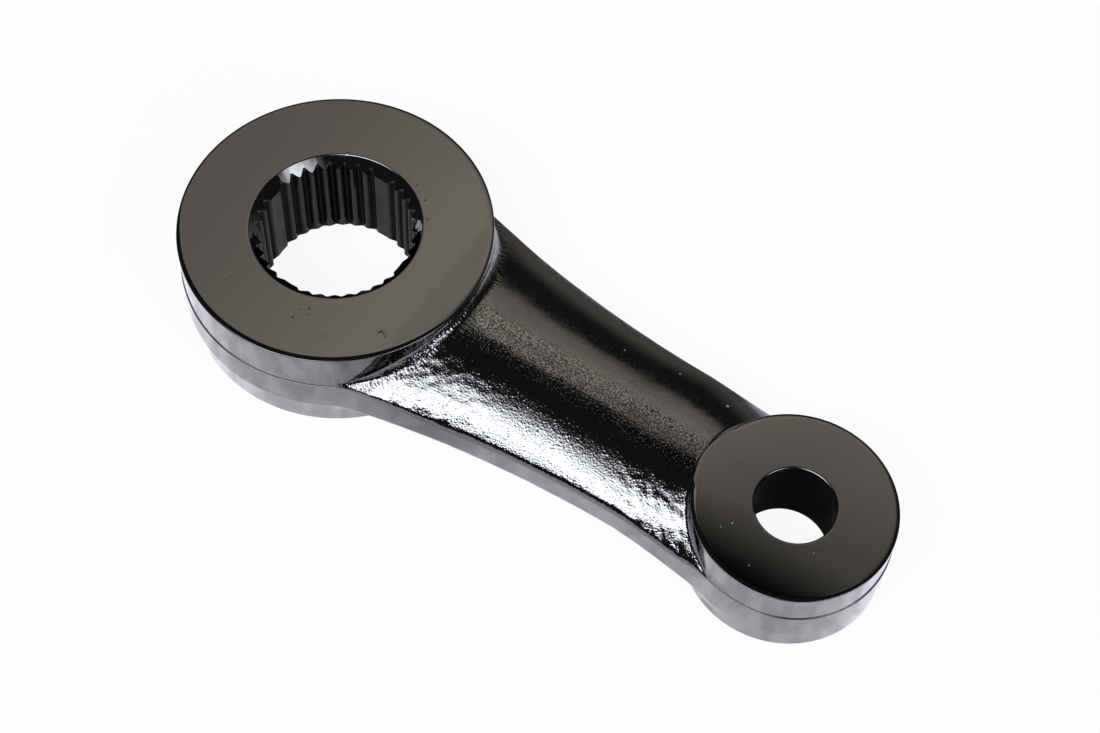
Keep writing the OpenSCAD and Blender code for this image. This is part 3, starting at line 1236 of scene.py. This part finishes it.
def studio_card(name, z, x_ramp, y_ramp, strength=0.0, tint="#ffffff"):
    """A level card above the arm that glows where its ramps are high, or is a black flag."""
    material, tree = empty_material(name)
    level = soft_edges(tree, x_ramp, y_ramp)
    clear = add_node(tree, "ShaderNodeBsdfTransparent")
    if strength:
        power = maths(tree, "MULTIPLY", level, strength)
        light = add_node(tree, "ShaderNodeEmission", {"Color": colour(tint), "Strength": power})
        both = add_node(tree, "ShaderNodeAddShader", {0: light.outputs[0], 1: clear.outputs[0]})
    else:
        black = add_node(tree, "ShaderNodeBsdfDiffuse", {"Color": colour("#000000")})
        both = add_node(tree, "ShaderNodeMixShader", {0: level, 1: clear.outputs[0], 2: black.outputs[0]})
    add_node(tree, "ShaderNodeOutputMaterial", {"Surface": both.outputs[0]})
    corners = [(x_ramp[i], y_ramp[j], 0) for i, j in ((0, 0), (0, 3), (3, 3), (3, 0))]
    card = make_mesh(name, np.array(corners) / MM, [(0, 1, 2, 3)])
    card.data.materials.append(material)
    card.location.z = z
    card.visible_camera = False
    scene.collection.objects.link(card)
    return card


print("ready to hang panels")

# %% [markdown]
# ## Hanging the panels in a dim room
#
# The near panel makes the broad white streak on the near flank, and the right panel the glints in the
# fillet at the splined boss. The far panel gives the flat faces their warm grey, the eye panel lifts the
# stud boss's face, and the ridge panel lifts the ridge. Between the near and far panels the dark ceiling
# leaves a black stripe. The backdrop stands upright behind the arm for the far flank, and a small black
# flag shades the near half of the stud boss's face.

# %% Panels overhead and the dim room
CARD_Z = 1.0
FLAG_Z = 0.12
ROOM_LEVEL = 0.025
COOL = "#f3f6fe"
WARM = "#fff5e4"
studio_card("near_panel", CARD_Z, (-0.8, -0.3, 0.2, 0.6), (-1.25, -1.02, -0.76, -0.31), 8.5, COOL)
studio_card("right_panel", CARD_Z, (0.9, 1.8, 2.3, 2.8), (-1.3, -0.6, -0.2, 0.4), 6.5, COOL)
studio_card("far_panel", CARD_Z, (-1.4, -1.2, 0.0, 0.5), (0.31, 0.33, 1.05, 1.6), 0.5, WARM)
studio_card("eye_panel", CARD_Z, (-0.34, -0.08, 0.0, 0.25), (0.42, 0.62, 0.8, 1.0), 0.4, WARM)
studio_card("ridge_panel", CARD_Z, (-0.55, -0.2, -0.19, -0.02), (0.31, 0.33, 0.58, 0.8), 1.2, WARM)
backdrop = studio_card("backdrop", CARD_Z, (-2.0, -1.8, 1.8, 2.0), (-0.02, 0.0, 0.02, 0.65), 0.2, WARM)
backdrop.location = (0, 2.0, 0)
backdrop.rotation_euler.x = math.pi / 2
flag = studio_card("small_flag", FLAG_Z, (0.055, 0.075, 0.115, 0.13), (0.01, 0.015, 0.026, 0.045))
flag.visible_shadow = False

world = bpy.data.worlds.new("dim_room")
world.use_nodes = True
background = world.node_tree.nodes["Background"].inputs
background["Color"].default_value = colour("#ffffff")
background["Strength"].default_value = ROOM_LEVEL
scene.world = world
print("six glowing cards, a flag and a dim room")

# %% [markdown]
# ## Camera
#
# The photograph was taken from the near right, about sixty degrees above the floor. The lens, the distance
# and the small roll come from fitting the circles of the two bosses and their bores.

# %% Place the camera
AZIMUTH = math.radians(29.84)
ELEVATION = math.radians(59.52)
ROLL = math.radians(3.96)
DISTANCE = 409.08 * MM
AIM = Vector((54.15, -3.32, HUB_H)) * MM
LENS = 68.46

back = Vector((math.sin(AZIMUTH) * math.cos(ELEVATION), -math.cos(AZIMUTH) * math.cos(ELEVATION),
               math.sin(ELEVATION)))
level = Vector((math.cos(AZIMUTH), math.sin(AZIMUTH), 0))
rise = back.cross(level)
right = level * math.cos(ROLL) + rise * math.sin(ROLL)
upward = rise * math.cos(ROLL) - level * math.sin(ROLL)
pose = Matrix((right, upward, back)).transposed().to_4x4()
pose.translation = AIM + back * DISTANCE
camera_data = bpy.data.cameras.new("camera")
camera_data.lens = LENS
camera_data.sensor_width = 36.0
camera_data.clip_start = 0.01
camera = bpy.data.objects.new("camera", camera_data)
camera.matrix_world = pose
scene.collection.objects.link(camera)
scene.camera = camera
print("camera at", [round(c, 3) for c in camera.location])
